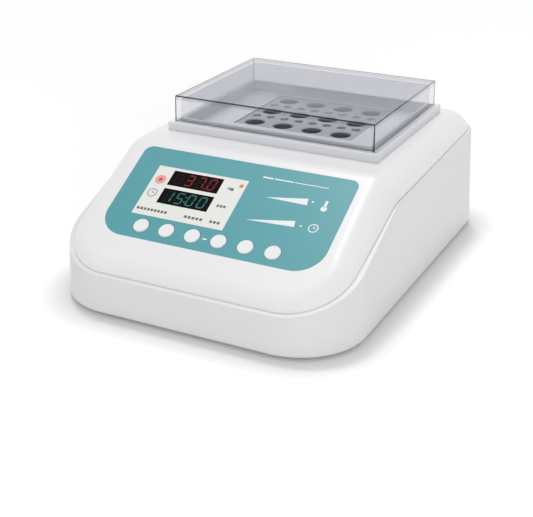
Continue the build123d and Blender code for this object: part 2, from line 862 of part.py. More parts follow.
with BuildPart() as power_board_screws:
    with BuildSketch(Plane.XY.offset(power_board_top)):
        with Locations(power_post_spots):
            Circle(screw_head_diameter / 2)
    extrude(amount=screw_head_height)
    with BuildSketch(Plane.XY.offset(power_board_top)):
        with Locations(power_post_spots):
            Circle(screw_diameter / 2)
    extrude(amount=-screw_length)
power_board_screws.part.label = "power_board_screws"
export_step(power_board_screws.part, "parts/power_board_screws.step")

transformer_x = power_board_width / 2 - 2 * board_inset - transformer_width / 2
with BuildPart() as transformer:
    with BuildSketch(Plane.XY.offset(power_board_top)):
        with Locations((transformer_x, power_board_y)):
            Rectangle(transformer_width, core_thickness)
    extrude(amount=transformer_height)
    with BuildSketch(Plane.XY.offset(power_board_top)):
        with Locations((transformer_x, power_board_y)):
            RectangleRounded(winding_width, transformer_length, winding_radius)
    extrude(amount=winding_height)
transformer.part.label = "transformer"
export_step(transformer.part, "parts/transformer.step")

terminal_x = -power_board_width / 2 + 2 * board_inset + terminal_width / 2
with BuildPart() as terminal_block:
    with BuildSketch(Plane.XY.offset(power_board_top)):
        with Locations((terminal_x, power_board_y + power_board_length / 2 - board_inset)):
            Rectangle(terminal_width, terminal_length)
    extrude(amount=terminal_height)
terminal_block.part.label = "terminal_block"
export_step(terminal_block.part, "parts/terminal_block.step")

fin_pitch = 2 * heat_sink_width / (2 * heat_sink_fins - 1)
with BuildPart() as heat_sink:
    with BuildSketch(Plane.XY.offset(power_board_top)):
        with Locations((terminal_x, power_board_y - board_inset)):
            Rectangle(heat_sink_width, heat_sink_length)
            with Locations((0, (heat_sink_length - fin_length) / 2)):
                with GridLocations(fin_pitch, 0, heat_sink_fins - 1, 1):
                    Rectangle(fin_pitch / 2, fin_length, mode=Mode.SUBTRACT)
    extrude(amount=heat_sink_height)
heat_sink.part.label = "heat_sink"
export_step(heat_sink.part, "parts/heat_sink.step")

# Mains inlet: flanged body with a keyed socket above and a slot for the fuse drawer below
with BuildPart() as mains_inlet:
    with BuildSketch(Plane.XZ.offset(-recess_floor_y)):
        with Locations((inlet_x, inlet_z)):
            Rectangle(inlet_width, inlet_height)
    extrude(amount=inlet_depth)
    with BuildSketch(Plane.XZ.offset(-recess_floor_y)):
        with Locations((inlet_x, inlet_z)):
            Rectangle(inlet_width + 2 * inlet_flange, inlet_height + 2 * inlet_flange)
    extrude(amount=-inlet_flange)
    with BuildSketch(Plane.XZ.offset(-flange_face_y)) as socket_outline:
        with Locations((inlet_x, socket_z)):
            Rectangle(socket_width, socket_height)
        chamfer(socket_outline.vertices().group_by(Axis.Y)[-1], socket_corner)
    extrude(amount=socket_depth, mode=Mode.SUBTRACT)
    with BuildSketch(Plane.XZ.offset(-flange_face_y)):
        with Locations((inlet_x, drawer_z)):
            Rectangle(socket_width, drawer_height)
    extrude(amount=drawer_length + fit_gap, mode=Mode.SUBTRACT)
mains_inlet.part.label = "mains_inlet"
export_step(mains_inlet.part, "parts/mains_inlet.step")

# Three contact blades in the socket, and the wiring tabs behind it
blade_spots = [
    (inlet_x - blade_spacing, socket_z - blade_offset),
    (inlet_x, socket_z + blade_offset),
    (inlet_x + blade_spacing, socket_z - blade_offset),
]
with BuildPart() as inlet_blades:
    with BuildSketch(Plane.XZ.offset(-socket_floor_y)):
        with Locations(blade_spots):
            Rectangle(blade_width, blade_height)
    extrude(amount=-blade_length)
    with BuildSketch(Plane.XZ.offset(-(recess_floor_y - inlet_depth))):
        with Locations(blade_spots):
            Rectangle(blade_width / 2, blade_height)
    extrude(amount=tab_length)
inlet_blades.part.label = "inlet_blades"
export_step(inlet_blades.part, "parts/inlet_blades.step")

with BuildPart() as fuse_drawer:
    with BuildSketch(Plane.XZ.offset(-flange_face_y)):
        with Locations((inlet_x, drawer_z)):
            Rectangle(socket_width - 2 * fit_gap, drawer_height - 2 * fit_gap)
    extrude(amount=drawer_length)
    with BuildSketch(Plane.XZ.offset(-flange_face_y)):
        with Locations((inlet_x, drawer_z)):
            Rectangle(drawer_notch_width, drawer_notch_height)
    extrude(amount=drawer_notch_depth, mode=Mode.SUBTRACT)
fuse_drawer.part.label = "fuse_drawer"
export_step(fuse_drawer.part, "parts/fuse_drawer.step")

# Power switch: a snap-in frame and a rocker on two trunnions, at rest with its lower half pressed
switch_cavity_width = rocker_width + 2 * fit_gap
switch_cavity_height = rocker_height + 2 * rocker_rise
switch_width = switch_cavity_width + 2 * switch_body_wall
switch_height = switch_cavity_height + 2 * switch_body_wall
switch_face_y = recess_floor_y + switch_flange
pivot = (rocker_x, switch_face_y - rocker_pivot_depth, recess_z)
trunnion_plane = Plane(origin=pivot, x_dir=(0, 1, 0), z_dir=(1, 0, 0))
with BuildPart() as switch_frame:
    with BuildSketch(Plane.XZ.offset(-recess_floor_y)):
        with Locations((rocker_x, recess_z)):
            Rectangle(switch_width, switch_height)
    extrude(amount=switch_body_depth)
    with BuildSketch(Plane.XZ.offset(-recess_floor_y)):
        with Locations((rocker_x, recess_z)):
            Rectangle(switch_width + 2 * switch_flange, switch_height + 2 * switch_flange)
    extrude(amount=-switch_flange)
    with BuildSketch(Plane.XZ.offset(-switch_face_y)):
        with Locations((rocker_x, recess_z)):
            Rectangle(switch_cavity_width, switch_cavity_height)
    extrude(amount=switch_body_depth - switch_body_wall, mode=Mode.SUBTRACT)
    with BuildSketch(trunnion_plane):
        Circle(trunnion_diameter / 2 + running_gap)
    extrude(amount=rocker_width / 2 + trunnion_length + running_gap, both=True, mode=Mode.SUBTRACT)
switch_frame.part.label = "switch_frame"
export_step(switch_frame.part, "parts/switch_frame.step")

tilt = math.radians(rocker_tilt)
rocker_plane = Plane(
    origin=pivot, x_dir=(0, math.sin(tilt), math.cos(tilt)), z_dir=(-1, 0, 0)
)
with BuildPart() as power_rocker:
    with BuildSketch(rocker_plane):
        with BuildLine():
            Polyline(
                (-rocker_height / 2, -rocker_keel),
                (-rocker_height / 2, rocker_crest + rocker_rise),
                (0, rocker_crest),
                (rocker_height / 2, rocker_crest + rocker_rise),
                (rocker_height / 2, -rocker_keel),
                close=True,
            )
        make_face()
    extrude(amount=rocker_width / 2, both=True)
    with BuildSketch(trunnion_plane):
        Circle(trunnion_diameter / 2)
    extrude(amount=rocker_width / 2 + trunnion_length, both=True)
power_rocker.part.label = "power_rocker"
export_step(power_rocker.part, "parts/power_rocker.step")

# Screws that join the two housings from below
with BuildPart() as housing_screws:
    with BuildSketch(Plane.XY.offset(boss_meeting_height - housing_screw_web)):
        with Locations(boss_spots):
            Circle(screw_head_diameter / 2)
    extrude(amount=-screw_head_height)
    with BuildSketch(Plane.XY.offset(boss_meeting_height - housing_screw_web)):
        with Locations(boss_spots):
            Circle(screw_diameter / 2)
    extrude(amount=housing_screw_length)
housing_screws.part.label = "housing_screws"
export_step(housing_screws.part, "parts/housing_screws.step")

# Rubber feet pressed into round seats
for number, spot in enumerate(foot_spots, start=1):
    with BuildPart() as foot:
        with BuildSketch():
            with Locations(spot):
                Circle(foot_diameter / 2)
        extrude(amount=foot_height + foot_seat)
        chamfer(foot.edges().group_by(Axis.Z)[0], foot_chamfer)
    foot.part.label = f"foot_{number}"
    export_step(foot.part, f"parts/foot_{number}.step")
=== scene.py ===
"""Finishes, printing, lit digits and studio for the dry bath incubator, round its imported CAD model."""
import logging
import math
from dataclasses import dataclass
from enum import Enum
from typing import Any, Iterable, Sequence

import bmesh
import bpy
from mathutils import Euler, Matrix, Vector


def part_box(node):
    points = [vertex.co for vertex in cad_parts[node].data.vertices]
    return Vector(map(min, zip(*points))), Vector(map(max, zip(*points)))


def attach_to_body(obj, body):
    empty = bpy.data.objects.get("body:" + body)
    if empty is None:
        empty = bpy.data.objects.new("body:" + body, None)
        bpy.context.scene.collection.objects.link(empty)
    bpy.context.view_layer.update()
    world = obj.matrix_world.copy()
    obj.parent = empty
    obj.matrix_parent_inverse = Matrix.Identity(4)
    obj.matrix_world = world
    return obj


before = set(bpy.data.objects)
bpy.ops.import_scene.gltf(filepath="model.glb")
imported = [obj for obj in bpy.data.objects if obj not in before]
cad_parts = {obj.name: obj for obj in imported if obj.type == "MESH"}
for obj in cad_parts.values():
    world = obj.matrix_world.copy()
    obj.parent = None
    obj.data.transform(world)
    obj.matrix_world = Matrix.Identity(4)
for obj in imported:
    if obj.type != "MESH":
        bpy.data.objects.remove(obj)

log = logging.getLogger("dry_bath")
MM = 0.001
PANEL_SLOPE_DEGREES = 28.8
FILM_THICKNESS_MM = 0.5
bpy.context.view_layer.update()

Point = tuple[float, float]
Outline = Sequence[Point]


def linear_colour(code: str) -> tuple[float, float, float, float]:
    """Turns an sRGB hex colour into Blender's linear values.

    Args:
        code: Six hex digits, with or without a leading #.

    Returns:
        Linear red, green, blue and an alpha of 1.
    """
    parts = [int(code.lstrip("#")[i:i + 2], 16) / 255 for i in (0, 2, 4)]
    red, green, blue = (c / 12.92 if c <= 0.04045 else ((c + 0.055) / 1.055) ** 2.4 for c in parts)
    return red, green, blue, 1.0


def add_node(tree: bpy.types.NodeTree, kind: str, settings: dict[str, Any] | None = None,
             links: dict[Any, Any] | None = None) -> bpy.types.Node:
    """Adds one node with its settings and links.

    Args:
        tree: Node tree that gets the node.
        kind: Blender's name for the node type.
        settings: Node properties by name, and input values by socket name or number.
        links: Output sockets by the name or number of the input that each one feeds.

    Returns:
        The new node.
    """
    node = tree.nodes.new(kind)
    for key, value in (settings or {}).items():
        if isinstance(key, str) and hasattr(node, key):
            setattr(node, key, value)
        else:
            node.inputs[key].default_value = value
    for key, socket in (links or {}).items():
        tree.links.new(socket, node.inputs[key])
    return node


def new_material(name: str) -> tuple[bpy.types.Material, bpy.types.NodeTree]:
    """Starts a node material without nodes.

    Args:
        name: Name of the material.

    Returns:
        The material and its empty tree.
    """
    material = bpy.data.materials.new(name)
    material.use_nodes = True
    material.node_tree.nodes.clear()
    return material, material.node_tree


def close_material(tree: bpy.types.NodeTree, shader: bpy.types.NodeSocket) -> None:
    """Feeds a shader to the material's output.

    Args:
        tree: Tree of the material.
        shader: Socket of the finished shader.
    """
    add_node(tree, "ShaderNodeOutputMaterial", links={"Surface": shader})


def per_metre(size_mm: float) -> float:
    """Scale of a noise pattern on Object coordinates.

    Args:
        size_mm: Size of the pattern's features in mm.

    Returns:
        The scale, as features per metre.
    """
    return 1 / (size_mm * MM)


def ring_outlines(outer: float, inner: float, steps: int) -> list[Outline]:
    """Outlines of the small slabs that make up a flat ring.

    Args:
        outer: Outer radius in mm.
        inner: Inner radius in mm.
        steps: Number of slabs.

    Returns:
        One outline for each slab, in mm from the ring's middle.
    """
    shapes = []
    for i in range(steps):
        a, b = (2 * math.pi * (i + k) / steps for k in (0, 1))
        corners = ((inner, a), (outer, a), (outer, b), (inner, b))
        shapes.append([(r * math.cos(t), r * math.sin(t)) for r, t in corners])
    return shapes


def closed_slab(builder: bmesh.types.BMesh, under: Iterable[Vector], upper: Iterable[Vector]) -> None:
    """Adds a thin closed slab to a mesh.

    Args:
        builder: Mesh that gets the slab.
        under: Corners of the lower face in metres, in order round the shape.
        upper: Corners of the upper face, in the same order.
    """
    low = [builder.verts.new(point) for point in under]
    high = [builder.verts.new(point) for point in upper]
    builder.faces.new(high)
    builder.faces.new(list(reversed(low)))
    for i, corner in enumerate(low):
        j = (i + 1) % len(low)
        builder.faces.new((corner, low[j], high[j], high[i]))


def solid_mesh(name: str, builder: bmesh.types.BMesh) -> bpy.types.Mesh:
    """Turns closed slabs into a mesh whose faces point outwards.

    Args:
        name: Name of the mesh.
        builder: Slabs in metres. It is freed.

    Returns:
        The new mesh.
    """
    bmesh.ops.recalc_face_normals(builder, faces=builder.faces)
    mesh = bpy.data.meshes.new(name)
    builder.to_mesh(mesh)
    builder.free()
    return mesh


def attach(name: str, mesh: bpy.types.Mesh, material: bpy.types.Material, body: str) -> None:
    """Makes a piece from a finished mesh and puts it on a body.

    Args:
        name: Name of the piece.
        mesh: Mesh with its place in it.
        material: Finish of the piece.
        body: CAD body that the piece moves with.
    """
    mesh.materials.clear()
    mesh.materials.append(material)
    piece = bpy.data.objects.new(name, mesh)
    bpy.context.scene.collection.objects.link(piece)
    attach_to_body(piece, body)
    log.info("piece %s on %s: %d faces", name, body, len(mesh.polygons))


def dress(names: Iterable[str], material: bpy.types.Material) -> None:
    """Gives CAD nodes their procedural material.

    Args:
        names: Names of the nodes.
        material: Finish that they share.
    """
    for name in names:
        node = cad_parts[name]
        node.data.materials.clear()
        node.data.materials.append(material)
        log.info("finish %s on %s", material.name, name)


class Brushing(Enum):
    """Direction that the brush marks of a metal run in, as a scale of its noise."""

    ALONG_X = (0.02, 1.0, 1.0)
    ALONG_Y = (1.0, 0.02, 1.0)


@dataclass(frozen=True)
class MouldedPlastic:
    """Moulded or pressed surface, such as ABS, nylon or rubber: even colour and a fine grain.

    The grain is drawn coarser than a real spark-eroded one, so that it shows in the render.
    """

    name: str
    colour: str
    roughness: float = 0.32
    grain_mm: float = 0.7
    relief_mm: float = 0.012
    variation: float = 0.03
    index: float = 1.53
    cloud_mm: float = 38.0
    shade: float = 0.97
    grain_strength: float = 0.35

    def build(self) -> bpy.types.Material:
        """Makes the material from two scales of noise: cloudy gloss and fine relief.

        Returns:
            The finished material.
        """
        material, tree = new_material(self.name)
        place = add_node(tree, "ShaderNodeTexCoord").outputs["Object"]
        cloud = add_node(tree, "ShaderNodeTexNoise", {"Scale": per_metre(self.cloud_mm), "Detail": 2.0},
                         {"Vector": place})
        grain = add_node(tree, "ShaderNodeTexNoise", {"Scale": per_metre(self.grain_mm), "Detail": 3.0},
                         {"Vector": place})
        tone = add_node(tree, "ShaderNodeMapRange",
                        {"To Min": self.roughness - self.variation,
                         "To Max": self.roughness + self.variation},
                        {"Value": cloud.outputs["Fac"]})
        red, green, blue, alpha = linear_colour(self.colour)
        darker = (red * self.shade, green * self.shade, blue * self.shade, alpha)
        tint = add_node(tree, "ShaderNodeMix",
                        {"data_type": "RGBA", 6: (red, green, blue, alpha), 7: darker},
                        {0: cloud.outputs["Fac"]})
        relief = add_node(tree, "ShaderNodeBump",
                          {"Strength": self.grain_strength, "Distance": self.relief_mm * MM},
                          {"Height": grain.outputs["Fac"]})
        skin = add_node(tree, "ShaderNodeBsdfPrincipled", {"IOR": self.index},
                        {"Base Color": tint.outputs[2], "Roughness": tone.outputs["Result"],
                         "Normal": relief.outputs["Normal"]})
        close_material(tree, skin.outputs["BSDF"])
        return material


@dataclass(frozen=True)
class WorkedMetal:
    """Sheet, bar or cast metal: grey reflections, blurred along its fine brush marks.

    The marks are drawn wider than real ones, so that they show in the render.
    """

    name: str
    colour: str
    roughness: float
    brushing: Brushing = Brushing.ALONG_X
    mark_mm: float = 0.5
    variation: float = 0.07
    relief_mm: float = 0.01
    mark_strength: float = 0.25

    def build(self) -> bpy.types.Material:
        """Makes the material: noise stretched along the brush marks drives gloss and relief.

        Returns:
            The finished material.
        """
        material, tree = new_material(self.name)
        place = add_node(tree, "ShaderNodeTexCoord").outputs["Object"]
        drawn = add_node(tree, "ShaderNodeMapping", {"Scale": self.brushing.value}, {"Vector": place})
        marks = add_node(tree, "ShaderNodeTexNoise", {"Scale": per_metre(self.mark_mm), "Detail": 3.0},
                         {"Vector": drawn.outputs["Vector"]})
        tone = add_node(tree, "ShaderNodeMapRange",
                        {"To Min": self.roughness - self.variation,
                         "To Max": self.roughness + self.variation},
                        {"Value": marks.outputs["Fac"]})
        relief = add_node(tree, "ShaderNodeBump",
                          {"Strength": self.mark_strength, "Distance": self.relief_mm * MM},
                          {"Height": marks.outputs["Fac"]})
        skin = add_node(tree, "ShaderNodeBsdfPrincipled",
                        {"Metallic": 1.0, "Base Color": linear_colour(self.colour)},
                        {"Roughness": tone.outputs["Result"], "Normal": relief.outputs["Normal"]})
        close_material(tree, skin.outputs["BSDF"])
        return material


@dataclass(frozen=True)
class DrilledAluminium:
    """Anodised aluminium block: satin milled faces, and painted shade darkening the bores where little light
    gets down.

    `centre` and `top` are the grid's middle and the block's top in metres. The bores darken from
    `lip_mm` to `deep_mm` below the top.
    """

    name: str
    face: str
    bore_shade: str
    centre: Point
    top: float
    pitch_mm: Point
    columns: int
    rows: int
    reach_mm: float = 7.3
    lip_mm: float = 0.4
    deep_mm: float = 3.0
    mark_mm: float = 0.9
    relief_mm: float = 0.01
    mark_strength: float = 0.3
    metallic: float = 0.85
    roughness: float = 0.46

    def build(self) -> bpy.types.Material:
        """Makes the material, with the bores found by their distance from the well grid.

        Returns:
            The finished material.
        """
        material, tree = new_material(self.name)
        place = add_node(tree, "ShaderNodeTexCoord").outputs["Object"]
        marks = add_node(tree, "ShaderNodeTexNoise", {"Scale": per_metre(self.mark_mm), "Detail": 3.0},
                         {"Vector": place})
        axes = add_node(tree, "ShaderNodeSeparateXYZ", links={"Vector": place})
        squares = []
        for axis, middle, pitch, count in zip("XY", self.centre, self.pitch_mm, (self.columns, self.rows)):
            first = middle - (count - 1) / 2 * pitch * MM
            local = add_node(tree, "ShaderNodeMath", {"operation": "SUBTRACT", 1: first},
                             {0: axes.outputs[axis]})
            wrapped = add_node(tree, "ShaderNodeMath",
                               {"operation": "WRAP", 1: pitch / 2 * MM, 2: -pitch / 2 * MM},
                               {0: local.outputs[0]})
            squares.append(add_node(tree, "ShaderNodeMath", {"operation": "POWER", 1: 2.0},
                                    {0: wrapped.outputs[0]}).outputs[0])
        reach = add_node(tree, "ShaderNodeMath", {"operation": "ADD"}, {0: squares[0], 1: squares[1]})
        inside = add_node(tree, "ShaderNodeMath", {"operation": "LESS_THAN", 1: (self.reach_mm * MM) ** 2},
                          {0: reach.outputs[0]})
        below = add_node(tree, "ShaderNodeMapRange",
                         {"From Min": self.top - self.deep_mm * MM, "From Max": self.top - self.lip_mm * MM,
                          "To Min": 1.0, "To Max": 0.0},
                         {"Value": axes.outputs["Z"]})
        dark = add_node(tree, "ShaderNodeMath", {"operation": "MULTIPLY"},
                        {0: inside.outputs[0], 1: below.outputs["Result"]})
        # Painted shade: the bores darken below their lip, where little light gets down.
        tint = add_node(tree, "ShaderNodeMix",
                        {"data_type": "RGBA", 6: linear_colour(self.face), 7: linear_colour(self.bore_shade)},
                        {0: dark.outputs[0]})
        relief = add_node(tree, "ShaderNodeBump",
                          {"Strength": self.mark_strength, "Distance": self.relief_mm * MM},
                          {"Height": marks.outputs["Fac"]})
        skin = add_node(tree, "ShaderNodeBsdfPrincipled",
                        {"Metallic": self.metallic, "Roughness": self.roughness},
                        {"Base Color": tint.outputs[2], "Normal": relief.outputs["Normal"]})
        close_material(tree, skin.outputs["BSDF"])
        return material


@dataclass(frozen=True)
class ClearAcrylic:
    """Polished acrylic lid: clear walls, a top sheet greyed by painted shade, and painted shade in grey lines
    where walls meet.

    `low` and `high` are the lid's box in metres. The lines are darkest at the front, where the eye
    looks along most acrylic, and pale at the rear.
    """

    name: str
    tint: str
    edge: str
    far_edge_shade: str
    top_sheet_shade: str
    low: Vector
    high: Vector
    gloss: str = "#D9DCDE"
    edge_mm: float = 0.9
    sheet_mm: float = 3.2
    haze_mm: float = 24.0
    index: float = 1.49
    polish: tuple[float, float] = (0.04, 0.09)

    def painted_edge_shade(self, tree: bpy.types.NodeTree, axes: bpy.types.Node) -> bpy.types.NodeSocket:
        """Finds the places that lie near two of the lid's outer faces at once, where shade is painted.

        Args:
            tree: Tree of the material.
            axes: Node with the separate coordinates.

        Returns:
            Socket that is 1 along the lines and 0 elsewhere.
        """
        near = []
        for axis, low, high in zip("XY", self.low, self.high):
            middle = add_node(tree, "ShaderNodeMath", {"operation": "SUBTRACT", 1: (low + high) / 2},
                              {0: axes.outputs[axis]})
            away = add_node(tree, "ShaderNodeMath", {"operation": "ABSOLUTE"}, {0: middle.outputs[0]})
            near.append(add_node(tree, "ShaderNodeMath",
                                 {"operation": "GREATER_THAN", 1: (high - low) / 2 - self.edge_mm * MM},
                                 {0: away.outputs[0]}).outputs[0])
        near.append(add_node(tree, "ShaderNodeMath",
                             {"operation": "GREATER_THAN", 1: self.high.z - self.edge_mm * MM},
                             {0: axes.outputs["Z"]}).outputs[0])
        two = add_node(tree, "ShaderNodeMath", {"operation": "ADD"}, {0: near[0], 1: near[1]})
        three = add_node(tree, "ShaderNodeMath", {"operation": "ADD"}, {0: two.outputs[0], 1: near[2]})
        # More than 1.5 faces means two or three, which is an edge or a corner.
        return add_node(tree, "ShaderNodeMath", {"operation": "GREATER_THAN", 1: 1.5},
                        {0: three.outputs[0]}).outputs[0]

    def build(self) -> bpy.types.Material:
        """Makes the material: straight see-through under a Fresnel gloss, with painted shade on the lines and
        the top sheet.

        Returns:
            The finished material.
        """
        material, tree = new_material(self.name)
        place = add_node(tree, "ShaderNodeTexCoord").outputs["Object"]
        axes = add_node(tree, "ShaderNodeSeparateXYZ", links={"Vector": place})
        sheet = add_node(tree, "ShaderNodeMath",
                         {"operation": "GREATER_THAN", 1: self.high.z - self.sheet_mm * MM},
                         {0: axes.outputs["Z"]})
        # Painted shade: the top sheet gets a greyer tint than the walls.
        clear = add_node(tree, "ShaderNodeMix",
                         {"data_type": "RGBA", 6: linear_colour(self.tint), 7: linear_colour(self.top_sheet_shade)},
                         {0: sheet.outputs[0]})
        depth = add_node(tree, "ShaderNodeMapRange", {"From Min": self.low.y, "From Max": self.high.y},
                         {"Value": axes.outputs["Y"]})
        # Painted shade along the edges, darkest at the front and pale at the rear.
        line = add_node(tree, "ShaderNodeMix",
                        {"data_type": "RGBA", 6: linear_colour(self.edge), 7: linear_colour(self.far_edge_shade)},
                        {0: depth.outputs["Result"]})
        tint = add_node(tree, "ShaderNodeMix", {"data_type": "RGBA"},
                        {0: self.painted_edge_shade(tree, axes), 6: clear.outputs[2], 7: line.outputs[2]})
        through = add_node(tree, "ShaderNodeBsdfTransparent", links={"Color": tint.outputs[2]})
        haze = add_node(tree, "ShaderNodeTexNoise", {"Scale": per_metre(self.haze_mm), "Detail": 2.0},
                        {"Vector": place})
        tone = add_node(tree, "ShaderNodeMapRange", {"To Min": self.polish[0], "To Max": self.polish[1]},
                        {"Value": haze.outputs["Fac"]})
        shine = add_node(tree, "ShaderNodeBsdfPrincipled",
                         {"Base Color": linear_colour(self.gloss), "IOR": self.index},
                         {"Roughness": tone.outputs["Result"]})
        # Light that leaves the sheet meets the inverse index, or the walls would turn dark.
        leaving = add_node(tree, "ShaderNodeMapRange", {"To Min": self.index, "To Max": 1 / self.index},
                           {"Value": add_node(tree, "ShaderNodeNewGeometry").outputs["Backfacing"]})
        share = add_node(tree, "ShaderNodeFresnel", links={"IOR": leaving.outputs["Result"]})
        both = add_node(tree, "ShaderNodeMixShader",
                        links={0: share.outputs["Fac"], 1: through.outputs["BSDF"], 2: shine.outputs["BSDF"]})
        close_material(tree, both.outputs["Shader"])
        return material


@dataclass(frozen=True)
class PrintedFilm:
    """Polyester film or screen ink: flat colour under a satin face."""

    name: str
    colour: str
    roughness: float = 0.38
    mottle_mm: float = 9.0
    satin_mm: float = 0.35
    relief_mm: float = 0.006
    index: float = 1.57
    satin_strength: float = 0.3
    shade: tuple[float, float, float] = (0.94, 0.96, 0.96)

    def build(self) -> bpy.types.Material:
        """Makes the material with a faint mottle in the ink and a fine satin texture.

        Returns:
            The finished material.
        """
        material, tree = new_material(self.name)
        place = add_node(tree, "ShaderNodeTexCoord").outputs["Object"]
        mottle = add_node(tree, "ShaderNodeTexNoise", {"Scale": per_metre(self.mottle_mm), "Detail": 3.0},
                          {"Vector": place})
        satin = add_node(tree, "ShaderNodeTexNoise", {"Scale": per_metre(self.satin_mm), "Detail": 2.0},
                         {"Vector": place})
        *colour, alpha = linear_colour(self.colour)
        darker = (*(part * factor for part, factor in zip(colour, self.shade)), alpha)
        tint = add_node(tree, "ShaderNodeMix", {"data_type": "RGBA", 6: (*colour, alpha), 7: darker},
                        {0: mottle.outputs["Fac"]})
        relief = add_node(tree, "ShaderNodeBump",
                          {"Strength": self.satin_strength, "Distance": self.relief_mm * MM},
                          {"Height": satin.outputs["Fac"]})
        skin = add_node(tree, "ShaderNodeBsdfPrincipled", {"Roughness": self.roughness, "IOR": self.index},
                        {"Base Color": tint.outputs[2], "Normal": relief.outputs["Normal"]})
        close_material(tree, skin.outputs["BSDF"])
        return material


@dataclass(frozen=True)
class LitResin:
    """Tinted resin of a display segment, with a soft glow of its own where it is lit."""

    name: str
    colour: str
    strength: float
    index: float
    spread_mm: float = 2.0
    polish: tuple[float, float] = (0.2, 0.34)

    def build(self) -> bpy.types.Material:
        """Makes the material with a slight unevenness in the gloss.

        Returns:
            The finished material.
        """
        material, tree = new_material(self.name)
        place = add_node(tree, "ShaderNodeTexCoord").outputs["Object"]
        spread = add_node(tree, "ShaderNodeTexNoise", {"Scale": per_metre(self.spread_mm)},
                          {"Vector": place})
        tone = add_node(tree, "ShaderNodeMapRange", {"To Min": self.polish[0], "To Max": self.polish[1]},
                        {"Value": spread.outputs["Fac"]})
        colour = linear_colour(self.colour)
        skin = add_node(tree, "ShaderNodeBsdfPrincipled",
                        {"Base Color": colour, "Emission Color": colour,
                         "Emission Strength": self.strength, "IOR": self.index},
                        {"Roughness": tone.outputs["Result"]})
        close_material(tree, skin.outputs["BSDF"])
        return material


@dataclass(frozen=True)
class LampPair:
    """Two tinted epoxy lamps in one node: red to the left of `split`, amber to its right, in metres."""

    name: str
    left: str
    right: str
    split: float
    roughness: float = 0.22
    glow: float = 0.35
    index: float = 1.54

    def build(self) -> bpy.types.Material:
        """Makes the material, with the colour chosen by the place across the panel.

        Returns:
            The finished material.
        """
        material, tree = new_material(self.name)
        place = add_node(tree, "ShaderNodeTexCoord").outputs["Object"]
        axes = add_node(tree, "ShaderNodeSeparateXYZ", links={"Vector": place})
        side = add_node(tree, "ShaderNodeMath", {"operation": "GREATER_THAN", 1: self.split},
                        {0: axes.outputs["X"]})
        tint = add_node(tree, "ShaderNodeMix",
                        {"data_type": "RGBA", 6: linear_colour(self.left), 7: linear_colour(self.right)},
                        {0: side.outputs[0]})
        skin = add_node(tree, "ShaderNodeBsdfPrincipled",
                        {"Roughness": self.roughness, "Emission Strength": self.glow, "IOR": self.index},
                        {"Base Color": tint.outputs[2], "Emission Color": tint.outputs[2]})
        close_material(tree, skin.outputs["BSDF"])
        return material


@dataclass(frozen=True)
class PanelPlane:
    """The sloping panel: x across, s down the slope from the film's top edge, both in mm."""

    slope: float
    origin: Vector

    def point(self, x: float, s: float, height: float) -> Vector:
        """Place of a panel point.

        Args:
            x: Distance across the panel in mm.
            s: Distance down the slope in mm.
            height: Distance above the film in mm.

        Returns:
            The place in metres.
        """
        along = Vector((0.0, math.cos(self.slope), math.sin(self.slope)))
        normal = Vector((0.0, -math.sin(self.slope), math.cos(self.slope)))
        return self.origin + (Vector((x, 0.0, 0.0)) - along * s + normal * height) * MM


@dataclass(frozen=True)
class Bar:
    """Upright printed bar, centred on (x, s), all in mm."""

    x: float
    s: float
    width: float
    length: float


@dataclass(frozen=True)
class Ring:
    """Printed ring, or a disc where `inner` is 0, all in mm."""

    x: float
    s: float
    outer: float
    inner: float = 0.0


@dataclass(frozen=True)
class Printing:
    """Raised ink on the panel, laid on as thin closed slabs that start just under the surface."""

    plane: PanelPlane
    sunk_mm: float = -0.02
    proud_mm: float = 0.06
    ring_steps: int = 32
    disc_steps: int = 24

    def slab(self, builder: bmesh.types.BMesh, outline: Outline, proud: float | None = None) -> None:
        """Adds one closed slab.

        Args:
            builder: Mesh that gets the slab.
            outline: Corners as (x, s) in mm, in order round the shape.
            proud: Height of the upper face in mm, or None for the ink's own.
        """
        height = self.proud_mm if proud is None else proud
        closed_slab(builder, [self.plane.point(x, s, self.sunk_mm) for x, s in outline],
                    [self.plane.point(x, s, height) for x, s in outline])

    def ring(self, builder: bmesh.types.BMesh, ring: Ring) -> None:
        """Adds a ring as a run of closed slabs, or a disc as one slab.

        Args:
            builder: Mesh that gets the ink.
            ring: Size and place of the ring.
        """
        if ring.inner:
            shapes = ring_outlines(ring.outer, ring.inner, self.ring_steps)
        else:
            turns = [2 * math.pi * i / self.disc_steps for i in range(self.disc_steps)]
            shapes = [[(ring.outer * math.cos(t), ring.outer * math.sin(t)) for t in turns]]
        for outline in shapes:
            self.slab(builder, [(ring.x + u, ring.s + v) for u, v in outline])

    def bar(self, builder: bmesh.types.BMesh, bar: Bar) -> None:
        """Adds an upright bar.

        Args:
            builder: Mesh that gets the ink.
            bar: Size and place of the bar.
        """
        w, h = bar.width / 2, bar.length / 2
        self.slab(builder, [(bar.x - w, bar.s - h), (bar.x + w, bar.s - h), (bar.x + w, bar.s + h),
                            (bar.x - w, bar.s + h)])

    def marks(self, name: str, ink: bpy.types.Material, shapes: Iterable[Bar | Ring]) -> None:
        """Prints bars and rings as one piece.

        Args:
            name: Name of the piece.
            ink: Finish of the piece.
            shapes: What is printed, in order.
        """
        builder = bmesh.new()
        for shape in shapes:
            if isinstance(shape, Bar):
                self.bar(builder, shape)
            else:
                self.ring(builder, shape)
        self.finish(name, builder, ink, "label_film")

    def finish(self, name: str, builder: bmesh.types.BMesh, material: bpy.types.Material, slot: str) -> None:
        """Turns slabs into a piece on the housing.

        Args:
            name: Name of the piece.
            builder: Slabs in metres. It is freed.
            material: Finish of the piece.
            slot: Not used.
        """
        attach(name, solid_mesh(name, builder), material, "housing")


